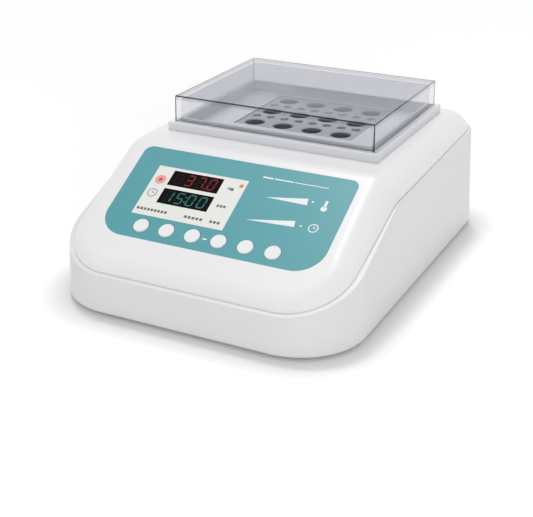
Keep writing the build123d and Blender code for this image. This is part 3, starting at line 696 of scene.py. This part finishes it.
@dataclass
class RepeatedMarks:
    """A straight row of equal marks on the panel, made with Geometry Nodes."""

    name: str
    start: Point
    pitch: float
    count: int
    mark: bpy.types.Mesh
    plane: PanelPlane

    def tree(self, material: bpy.types.Material) -> bpy.types.NodeTree:
        """Builds the tree: a line of points, the mark on each, realized and given its material.

        Args:
            material: Finish of the marks.

        Returns:
            The node group.
        """
        group = bpy.data.node_groups.new(self.name + "_row", "GeometryNodeTree")
        inputs = (("Mark", "NodeSocketGeometry"), ("Count", "NodeSocketInt"), ("Pitch", "NodeSocketVector"),
                  ("Start", "NodeSocketVector"))
        for label, kind in inputs:
            group.interface.new_socket(label, in_out="INPUT", socket_type=kind)
        group.interface.new_socket("Row", in_out="OUTPUT", socket_type="NodeSocketGeometry")
        given = add_node(group, "NodeGroupInput")
        line = add_node(group, "GeometryNodeMeshLine", {"mode": "OFFSET"},
                        {"Count": given.outputs["Count"], "Start Location": given.outputs["Start"],
                         "Offset": given.outputs["Pitch"]})
        copies = add_node(group, "GeometryNodeInstanceOnPoints",
                          links={"Points": line.outputs["Mesh"], "Instance": given.outputs["Mark"]})
        solid = add_node(group, "GeometryNodeRealizeInstances", links={0: copies.outputs["Instances"]})
        dressed = add_node(group, "GeometryNodeSetMaterial", {"Material": material},
                           {"Geometry": solid.outputs["Geometry"]})
        add_node(group, "NodeGroupOutput", links={"Row": dressed.outputs["Geometry"]})
        return group

    def make(self, material: bpy.types.Material, slot: str) -> None:
        """Evaluates the row, keeps its plain mesh and puts it on the housing.

        Args:
            material: Finish of the marks.
            slot: Not used.
        """
        carrier = bpy.data.objects.new(self.name + "_carrier", self.mark)
        bpy.context.scene.collection.objects.link(carrier)
        modifier = carrier.modifiers.new("row", "NODES")
        modifier.node_group = self.tree(material)
        ids = {item.name: item.identifier for item in modifier.node_group.interface.items_tree
               if item.in_out == "INPUT"}
        origin = self.plane.point(0.0, 0.0, 0.0)
        modifier[ids["Count"]] = self.count
        modifier[ids["Pitch"]] = self.plane.point(self.pitch, 0.0, 0.0) - origin
        modifier[ids["Start"]] = self.plane.point(*self.start, 0.0) - origin
        evaluated = carrier.evaluated_get(bpy.context.evaluated_depsgraph_get())
        mesh = bpy.data.meshes.new_from_object(evaluated)
        mesh.name = self.name
        bpy.data.objects.remove(carrier)
        attach(self.name, mesh, material, "housing")


@dataclass(frozen=True)
class Display:
    """What one window shows: its figures, its row on the panel, its colours and its lit points."""

    name: str
    text: str
    row: float
    lit: str
    unlit: str
    points: tuple[Point, ...]


@dataclass(frozen=True)
class SegmentDigits:
    """A row of seven-segment digits in one display window, sizes in mm."""

    display: Display
    window_x: float
    printing: Printing
    height: float = 8.6
    width: float = 4.6
    stroke: float = 0.95
    pitch: float = 8.3
    lean: float = 0.1
    gap: float = 0.16
    unlit_proud: float = 0.03
    point_size: float = 1.045

    LIT = {"0": "abcdef", "1": "bc", "2": "abged", "3": "abgcd", "4": "fgbc", "5": "afgcd", "6": "afgedc",
           "7": "abc", "8": "abcdefg", "9": "abcdfg", " ": ""}

    def segments(self) -> dict[str, Outline]:
        """Outlines of the seven segments.

        Returns:
            Each segment's corners as (x, s) in mm about the digit's middle, by its letter.
        """
        w, h, t, g = self.width / 2, self.height / 2, self.stroke / 2, self.gap

        def flat(s: float) -> Outline:
            """Outline of a flat segment.

            Args:
                s: Row of its middle in mm.

            Returns:
                Its six corners.
            """
            left, right = -w + g, w - g
            return [(left, s), (left + t, s - t), (right - t, s - t), (right, s), (right - t, s + t),
                    (left + t, s + t)]

        def upright(x: float, top: float, foot: float) -> Outline:
            """Outline of an upright segment.

            Args:
                x: Place of its middle line in mm.
                top: Row of its upper joint in mm.
                foot: Row of its lower joint in mm.

            Returns:
                Its six corners.
            """
            high, low = top + g, foot - g
            return [(x, high), (x + t, high + t), (x + t, low - t), (x, low), (x - t, low - t),
                    (x - t, high + t)]

        shapes = {"a": flat(-h), "g": flat(0.0), "d": flat(h), "f": upright(-w, -h, 0.0),
                  "b": upright(w, -h, 0.0), "e": upright(-w, 0.0, h), "c": upright(w, 0.0, h)}
        return {key: [(x - s * self.lean, s) for x, s in outline] for key, outline in shapes.items()}

    def figure(self, builder: bmesh.types.BMesh, keys: str, at: Point, proud: float | None = None) -> None:
        """Adds the named segments of one digit.

        Args:
            builder: Mesh that gets the segments.
            keys: Letters of the segments.
            at: Middle of the digit as (x, s) in mm.
            proud: Height of the upper faces in mm, or None for the ink's own.
        """
        outlines = self.segments()
        for key in keys:
            self.printing.slab(builder, [(at[0] + x, at[1] + s) for x, s in outlines[key]], proud)

    def make(self, lit: bpy.types.Material, unlit: bpy.types.Material, slot: str) -> None:
        """Makes the row of unlit segments, and the lit ones a hair above them.

        Args:
            lit: Finish of the lit segments and points.
            unlit: Finish of the unlit segments.
            slot: Not used.
        """
        name, text, row = self.display.name, self.display.text, self.display.row
        first = self.window_x - (len(text) - 1) / 2 * self.pitch
        ghost = bmesh.new()
        self.figure(ghost, self.LIT["8"], (0.0, 0.0), self.unlit_proud)
        mark = solid_mesh(name + "_mark", ghost)
        RepeatedMarks(name + "_unlit", (first, row), self.pitch, len(text), mark,
                      self.printing.plane).make(unlit, slot)
        shown = bmesh.new()
        for place, digit in enumerate(text):
            self.figure(shown, self.LIT[digit], (first + place * self.pitch, row))
        for x, s in self.display.points:
            self.printing.bar(shown, Bar(self.window_x + x, row + s, self.point_size, self.point_size))
        self.printing.finish(name + "_lit", shown, lit, slot)


@dataclass(frozen=True)
class WordRow:
    """A printed word, stood for by equal dashes between two places on one row, in mm."""

    start: float
    end: float
    row: float
    count: int


@dataclass
class ControlPanel:
    """Film, label, windows, digits, lamps, printed marks and push buttons of the sloping panel."""

    plane: PanelPlane
    window_x: float = -29.6
    displays: tuple[Display, ...] = (
        Display("temperature_digits", " 370", 24.0, "#7C2226", "#22100F", ((8.3, 4.3),)),
        Display("time_digits", "1500", 39.8, "#256C68", "#0F1D1C", ((0.0, -2.0), (0.0, 2.0))),
    )
    wedges: tuple[Outline, ...] = (
        ((23.1, 25.7), (50.9, 20.9), (52.1, 26.2)),
        ((17.4, 46.0), (49.8, 39.9), (50.8, 44.6)),
    )
    title: tuple[Bar, ...] = (
        Bar(17.85, 10.0, 7.3, 1.2), Bar(29.3, 10.0, 13.4, 0.95), Bar(48.75, 10.0, 23.5, 0.6),
    )
    clock: tuple[Bar | Ring, ...] = (
        Ring(63.2, 42.8, 3.4, 2.7), Bar(63.2, 41.8, 0.55, 2.0), Bar(64.0, 42.8, 1.8, 0.55),
    )
    thermometer: tuple[Bar | Ring, ...] = (Ring(63.7, 26.7, 2.1), Bar(63.7, 22.8, 1.8, 5.6))
    wedge_dots: tuple[Ring, ...] = (Ring(54.7, 22.7, 0.7), Ring(54.8, 43.0, 0.7))
    link_dash: Bar = Bar(-1.8, 67.1, 3.2, 1.0)
    unit_sign: tuple[Bar | Ring, ...] = (Ring(-4.6, 24.3, 0.9, 0.45), Bar(-2.2, 24.6, 2.6, 2.2))
    label_clock: tuple[Bar | Ring, ...] = (
        Ring(-55.1, 38.9, 3.7, 2.7), Bar(-55.1, 38.0, 0.7, 2.2), Bar(-54.2, 38.9, 1.9, 0.7),
    )
    # Pink ring of the red lamp's glow on the white label, painted on.
    lamp_glow_ring: Ring = Ring(-54.8, 27.0, 3.9, 1.7)
    words: tuple[WordRow, ...] = (
        WordRow(-59.8, -36.4, 53.0, 9), WordRow(-24.2, -10.0, 53.0, 5), WordRow(-5.5, 2.6, 53.0, 3),
        WordRow(-6.6, 0.6, 39.6, 3),
    )
    word_fill: float = 0.7
    word_height: float = 2.0
    glow: float = 0.32
    lit_index: float = 1.2
    unlit_index: float = 1.15
    lamp_split: float = -0.02
    button_count: int = 6

    def finishes(self) -> None:
        """Dresses the CAD nodes of the panel."""
        # Polyester film, printed and satin coated: flat colour with a broad, weak highlight.
        dress(["panel_film"], PrintedFilm("teal_polyester_film", "#459DA6").build())
        label = PrintedFilm("white_polyester_label", "#F0F0EA", roughness=0.42)
        dress(["display_label"], label.build())
        # A dark smoked lens shows almost no reflection of the pale room, hence the low index.
        lens = MouldedPlastic("smoked_display_lens", "#0B0708", roughness=0.3, grain_mm=0.5,
                              relief_mm=0.001, variation=0.02, index=1.12)
        dress(["temperature_window", "time_window"], lens.build())
        # Cast epoxy lamps: glossy, and they glow a little in their own colour.
        dress(["indicator_lamps"], LampPair("diode_lamps", "#C4302C", "#C9792E", self.lamp_split).build())
        # ABS caps from a polished mould: small sharp highlights.
        cap = MouldedPlastic("gloss_white_cap", "#F7F9F9", roughness=0.2, grain_mm=0.5, relief_mm=0.002,
                             variation=0.02)
        dress([f"button_{n}" for n in range(1, self.button_count + 1)], cap.build())

    def digits(self, printing: Printing) -> None:
        """Lights the two displays with plain figures.

        Args:
            printing: Lays the segments on the panel.
        """
        for display in self.displays:
            glow = LitResin(display.name + "_glow", display.lit, self.glow, self.lit_index)
            dark = LitResin(display.name + "_dark", display.unlit, 0.0, self.unlit_index)
            SegmentDigits(display, self.window_x, printing).make(glow.build(), dark.build(), "dark_window")

    def film_prints(self, printing: Printing) -> None:
        """Prints the title stripe, the wedges and the plain signs in white on the film.

        Args:
            printing: Lays the ink on the panel.
        """
        white = PrintedFilm("white_screen_ink", "#F4F8F8", roughness=0.5).build()
        builder = bmesh.new()
        for outline in self.wedges:
            printing.slab(builder, outline)
        printing.finish("level_wedges", builder, white, "label_film")
        printing.marks("title_stripe", white, self.title)
        printing.marks("panel_signs", white, self.clock + self.thermometer + self.wedge_dots)
        printing.marks("button_link_dash", white, [self.link_dash])

    def label_prints(self, printing: Printing) -> None:
        """Prints the signs and the rows of plain dashes on the white label, and the lamp's glow as a painted
        pink ring.

        Args:
            printing: Lays the ink on the panel.
        """
        grey = PrintedFilm("grey_screen_ink", "#5A5C60", roughness=0.5).build()
        blue_grey = PrintedFilm("blue_grey_screen_ink", "#A9BBC4", roughness=0.5).build()
        # Painted glow: the pink ring round the red lamp stands for its light on the label.
        lamp_glow = PrintedFilm("pink_painted_lamp_glow", "#F0A79F", roughness=0.5).build()
        printing.marks("label_signs", grey, self.unit_sign)
        printing.marks("label_time_sign", blue_grey, self.label_clock)
        printing.marks("painted_lamp_glow", lamp_glow, [self.lamp_glow_ring])
        for number, word in enumerate(self.words, start=1):
            pitch = (word.end - word.start) / word.count
            builder = bmesh.new()
            printing.bar(builder, Bar(0.0, 0.0, pitch * self.word_fill, self.word_height))
            mark = solid_mesh(f"word_dash_{number}", builder)
            RepeatedMarks(f"label_dashes_{number}", (word.start + pitch / 2, word.row), pitch, word.count,
                          mark, self.plane).make(grey, "label_film")

    def build(self) -> None:
        """Dresses the panel and adds its digits and printing."""
        printing = Printing(self.plane)
        self.finishes()
        self.digits(printing)
        self.film_prints(printing)
        self.label_prints(printing)


@dataclass
class Housing:
    """The two moulded housing halves, their feet, and the plated steel inside."""

    base: str = "#E9E9EA"
    shell: str = "#F4F4F5"
    foot_count: int = 4

    def build(self) -> None:
        """Dresses the moulded halves, the feet and the steel parts."""
        # ABS from a spark-eroded mould: the base is matt, and the smoother shell has a soft gloss.
        base = MouldedPlastic("grained_abs_base", self.base, roughness=0.4, grain_mm=0.9, relief_mm=0.015)
        dress(["base_housing"], base.build())
        dress(["top_housing"], MouldedPlastic("soft_gloss_abs_shell", self.shell, roughness=0.3).build())
        # Pressed nitrile rubber: near black, with hardly a highlight.
        rubber = MouldedPlastic("black_nitrile_rubber", "#1B1B1C", roughness=0.75, grain_mm=0.8,
                                relief_mm=0.03)
        dress([f"foot_{n}" for n in range(1, self.foot_count + 1)], rubber.build())
        # Zinc plate over rolled steel: a cool grey metal with a blurred shine.
        dress(["housing_screws", "board_screws", "power_board_screws", "carrier_pillars", "heater_carrier",
               "temperature_probe"], WorkedMetal("zinc_plated_steel", "#B9BCC0", roughness=0.35).build())


@dataclass
class HeatedChamber:
    """Frame, clear lid, bright plate, drilled block and the heater stack below it."""

    columns: int = 4
    rows: int = 3
    pitch_mm: Point = (22.4, 28.4)

    def build(self) -> None:
        """Dresses the lid, the metal parts and the insulation."""
        # Cast acrylic, polished on its edges: clear faces, with a grey line of painted shade at each edge and
        # a greyer top.
        low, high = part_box("lid")
        lid = ClearAcrylic("clear_cast_acrylic", tint="#FAFAFB", edge="#585A60", far_edge_shade="#BFC1C6",
                           top_sheet_shade="#E8E8EC", low=low, high=high)
        dress(["lid"], lid.build())
        # Anodised bar: pale and satin. The bare plate is brighter, brushed from front to back.
        dress(["lid_frame"], WorkedMetal("anodised_frame_aluminium", "#D9DADD", roughness=0.5).build())
        dress(["deck_plate", "block_liner", "heat_sink"],
              WorkedMetal("brushed_plate_aluminium", "#EEEFF1", 0.42, Brushing.ALONG_Y).build())
        # Milled and anodised block: satin faces round wells darkened with painted shade.
        low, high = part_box("heating_block")
        middle = ((low.x + high.x) / 2, (low.y + high.y) / 2)
        block = DrilledAluminium("anodised_block_aluminium", "#C3C5CA", "#3C3E42", middle, high.z,
                                 self.pitch_mm, self.columns, self.rows)
        dress(["heating_block"], block.build())
        # Cast aluminium is greyer, pressed silicone dull red, and fibre board matt and rough.
        dress(["heater_plate"], WorkedMetal("cast_heater_aluminium", "#A6A8AD", roughness=0.45).build())
        mat = MouldedPlastic("silicone_heater_mat", "#B4502C", roughness=0.6, grain_mm=1.2, relief_mm=0.05)
        dress(["heater_mat"], mat.build())
        board = MouldedPlastic("mineral_fibre_board", "#DBD6CB", roughness=0.9, grain_mm=1.5, relief_mm=0.2)
        dress(["insulation_pad", "insulation_sleeve"], board.build())


@dataclass
class Electrics:
    """Boards, transformer, terminals, mains inlet, fuse drawer and power switch.

    `off_ring` and `on_bar` give only sizes, in mm. `probe_start` is in metres.
    """

    sunk_mm: float = -0.02
    proud_mm: float = 0.08
    off_ring: Ring = Ring(0.0, 0.0, 1.6, 1.1)
    on_bar: Bar = Bar(0.0, 0.0, 0.5, 3.2)
    ring_steps: int = 24
    mark_share: float = 0.25
    probe_start: float = 0.05

    def finishes(self) -> None:
        """Dresses the electrical CAD nodes."""
        # Glass-filled nylon: black and matt. The rocker's polished mould gives it a sharp shine.
        black = MouldedPlastic("black_glass_filled_nylon", "#1D1D1F", roughness=0.5, grain_mm=0.6,
                               relief_mm=0.02)
        dress(["mains_inlet", "fuse_drawer", "switch_frame", "thermal_cutout", "key_switches",
               "temperature_display", "time_display"], black.build())
        rocker = MouldedPlastic("gloss_black_rocker", "#151516", roughness=0.25, grain_mm=0.5,
                                relief_mm=0.002)
        dress(["power_rocker"], rocker.build())
        # Nickel over stamped brass: bright, with a warm cast.
        dress(["inlet_blades"], WorkedMetal("nickelled_brass", "#CFC9B8", roughness=0.28).build())
        # Solder resist and terminal nylon: greens with a soft gloss. The varnished core is dark.
        resist = MouldedPlastic("green_solder_resist", "#1F5A38", roughness=0.35, grain_mm=1.0)
        dress(["control_board", "power_board"], resist.build())
        core = MouldedPlastic("varnished_core_iron", "#3A3734", roughness=0.55, grain_mm=0.6,
                              relief_mm=0.05)
        dress(["transformer"], core.build())
        dress(["terminal_block"],
              MouldedPlastic("green_terminal_nylon", "#2F7A4E", roughness=0.4).build())

    def mark_shapes(self) -> tuple[list[Outline], list[Outline]]:
        """Outlines of the two plain marks.

        Returns:
            The on bar's and the off ring's slabs, in mm about each mark's middle.
        """
        w, h = self.on_bar.width / 2, self.on_bar.length / 2
        ring = ring_outlines(self.off_ring.outer, self.off_ring.inner, self.ring_steps)
        return [[(-w, -h), (w, -h), (w, h), (-w, h)]], ring

    def rocker_marks(self) -> None:
        """Adds the plain on and off marks to the two halves of the rocker.
        """
        low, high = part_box("power_rocker")
        middle_x, middle_z = (low.x + high.x) / 2, (low.z + high.z) / 2
        rise = (high.z - low.z) * self.mark_share
        across = Vector((1.0, 0.0, 0.0))
        inward = Vector((0.0, -1.0, 0.0))
        builder = bmesh.new()
        for sign, shapes in zip((1, -1), self.mark_shapes()):
            start = Vector((middle_x, high.y + self.probe_start, middle_z + sign * rise))
            found, spot, normal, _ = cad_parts["power_rocker"].ray_cast(start, inward)
            if not found:
                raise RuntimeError("the rocker's face wasn't found for its on and off marks")
            upward = normal.cross(across)
            for outline in shapes:
                under, upper = (
                    [spot + (across * x + upward * y + normal * height) * MM for x, y in outline]
                    for height in (self.sunk_mm, self.proud_mm)
                )
                closed_slab(builder, under, upper)
        ink = PrintedFilm("white_pad_ink", "#EDEDED", roughness=0.5).build()
        attach("rocker_marks", solid_mesh("rocker_marks", builder), ink, "rocker")

    def build(self) -> None:
        """Dresses the electrical parts and marks the rocker."""
        self.finishes()
        self.rocker_marks()


@dataclass(frozen=True)
class Lamp:
    """One lamp: its kind, place in metres, size (radians for a sun, else metres) and power."""

    name: str
    kind: str
    place: tuple[float, float, float]
    size: float
    power: float

    def make(self, aim: Vector) -> None:
        """Puts the lamp in the scene.

        Args:
            aim: Point that the lamp looks at, in metres.
        """
        data = bpy.data.lights.new(self.name, self.kind)
        setattr(data, "angle" if self.kind == "SUN" else "size", self.size)
        data.energy = self.power
        lamp = bpy.data.objects.new(self.name, data)
        lamp.location = Vector(self.place)
        lamp.rotation_euler = (aim - lamp.location).to_track_quat("-Z", "Y").to_euler()
        bpy.context.scene.collection.objects.link(lamp)


@dataclass
class Studio:
    """Pale floor, even white surround, two lamps and the camera.

    `azimuth` and `elevation` are in degrees, `lens` and `sensor` in mm, and `floor_half` and
    `aim` in metres.
    """

    camera_mm: tuple[float, float, float] = (316.95, -648.35, 328.0)
    azimuth: float = 26.78
    elevation: float = 24.64
    lens: float = 74.1
    sensor: float = 36.0
    white: tuple[float, float, float, float] = (1.0, 1.0, 1.0, 1.0)
    fill: float = 0.58
    paper: str = "#FDFDFD"
    paper_mm: float = 60.0
    paper_roughness: tuple[float, float] = (0.9, 0.95)
    floor_half: float = 6.0
    floor_glow: float = 0.15
    glow_strength: float = 2.1
    shadow_mm: float = 26.0
    shadow_power: float = 4.0
    aim: tuple[float, float, float] = (0.0, 0.0, 0.05)
    lamps: tuple[Lamp, ...] = (
        # A soft high sun from the rear left gives the short contact shadow.
        Lamp("key", "SUN", (-0.32, 0.4, 1.5), math.radians(10), 1.0),
        # A low lamp at the front right lifts the walls and hardly touches the floor.
        Lamp("front", "AREA", (1.0, -1.25, 0.4), 0.9, 4.2),
    )

    def camera(self) -> None:
        """Puts the camera where the photograph was taken from."""
        data = bpy.data.cameras.new("camera")
        data.lens = self.lens
        data.sensor_width = self.sensor
        eye = bpy.data.objects.new("camera", data)
        eye.location = Vector(self.camera_mm) * MM
        eye.rotation_euler = Euler((math.radians(90 - self.elevation), 0.0, math.radians(self.azimuth)))
        bpy.context.scene.collection.objects.link(eye)
        bpy.context.scene.camera = eye

    def seen(self, tree: bpy.types.NodeTree) -> bpy.types.NodeSocket:
        """Tells the rays that see the surround from those that only carry its light.

        Args:
            tree: Tree that gets the nodes.

        Returns:
            Socket that is 1 for camera, glossy and transmission rays.
        """
        path = add_node(tree, "ShaderNodeLightPath")
        some = add_node(tree, "ShaderNodeMath", {"operation": "MAXIMUM"},
                        {0: path.outputs["Is Camera Ray"], 1: path.outputs["Is Glossy Ray"]})
        every = add_node(tree, "ShaderNodeMath", {"operation": "MAXIMUM"},
                         {0: some.outputs[0], 1: path.outputs["Is Transmission Ray"]})
        return every.outputs[0]

    def world(self) -> None:
        """White surround to the eye, and a plain soft fill for the light."""
        world = bpy.data.worlds.new("studio")
        world.use_nodes = True
        tree = world.node_tree
        tree.nodes.clear()
        strength = add_node(tree, "ShaderNodeMapRange", {"To Min": self.fill, "To Max": 1.0},
                            {"Value": self.seen(tree)})
        sky = add_node(tree, "ShaderNodeBackground", {"Color": self.white},
                       {"Strength": strength.outputs["Result"]})
        add_node(tree, "ShaderNodeOutputWorld", links={"Surface": sky.outputs["Background"]})
        bpy.context.scene.world = world

    def floor_material(self) -> bpy.types.Material:
        """Makes white paper with a glow that fades close to the object, which paints a contact shadow there.

        Returns:
            The floor's material.
        """
        material, tree = new_material("pale_floor")
        grain = add_node(tree, "ShaderNodeTexNoise", {"Scale": per_metre(self.paper_mm)},
                         {"Vector": add_node(tree, "ShaderNodeTexCoord").outputs["Object"]})
        low, high = self.paper_roughness
        tone = add_node(tree, "ShaderNodeMapRange", {"To Min": low, "To Max": high},
                        {"Value": grain.outputs["Fac"]})
        paper = add_node(tree, "ShaderNodeBsdfDiffuse", {"Color": linear_colour(self.paper)},
                         {"Roughness": tone.outputs["Result"]})
        # Ambient occlusion fades the glow near the object: a painted contact shadow.
        near = add_node(tree, "ShaderNodeAmbientOcclusion", {"Distance": self.shadow_mm * MM})
        depth = add_node(tree, "ShaderNodeMath", {"operation": "POWER", 1: self.shadow_power},
                         {0: near.outputs["AO"]})
        glow = add_node(tree, "ShaderNodeMath", {"operation": "MULTIPLY", 1: self.glow_strength},
                        {0: depth.outputs[0]})
        white = add_node(tree, "ShaderNodeEmission", {"Color": self.white}, {"Strength": glow.outputs[0]})
        share = add_node(tree, "ShaderNodeMath", {"operation": "MULTIPLY", 1: self.floor_glow},
                         {0: self.seen(tree)})
        both = add_node(tree, "ShaderNodeMixShader",
                        links={0: share.outputs[0], 1: paper.outputs["BSDF"], 2: white.outputs["Emission"]})
        close_material(tree, both.outputs["Shader"])
        return material

    def floor(self) -> None:
        """Lays the large pale floor that keeps the contact shadow."""
        builder = bmesh.new()
        bmesh.ops.create_grid(builder, x_segments=1, y_segments=1, size=self.floor_half)
        mesh = bpy.data.meshes.new("floor")
        builder.to_mesh(mesh)
        builder.free()
        mesh.materials.append(self.floor_material())
        plane = bpy.data.objects.new("floor", mesh)
        bpy.context.scene.collection.objects.link(plane)

    def build(self) -> None:
        """Sets the camera, surround, floor and lamps."""
        self.camera()
        self.world()
        self.floor()
        for lamp in self.lamps:
            lamp.make(Vector(self.aim))
        bpy.context.scene.view_settings.view_transform = "Standard"


def panel_plane() -> PanelPlane:
    """Finds the control panel's surface from the film's box.

    Returns:
        The plane of the film's printed face.
    """
    slope = math.radians(PANEL_SLOPE_DEGREES)
    _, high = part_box("panel_film")
    return PanelPlane(slope, Vector((0.0, high.y - FILM_THICKNESS_MM * MM * math.sin(slope), high.z)))


def main() -> None:
    """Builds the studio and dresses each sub-assembly."""
    logging.basicConfig(level=logging.INFO, format="%(name)s: %(message)s")
    Studio().build()
    Housing().build()
    HeatedChamber().build()
    ControlPanel(panel_plane()).build()
    Electrics().build()


if __name__ == "__main__":
    main()
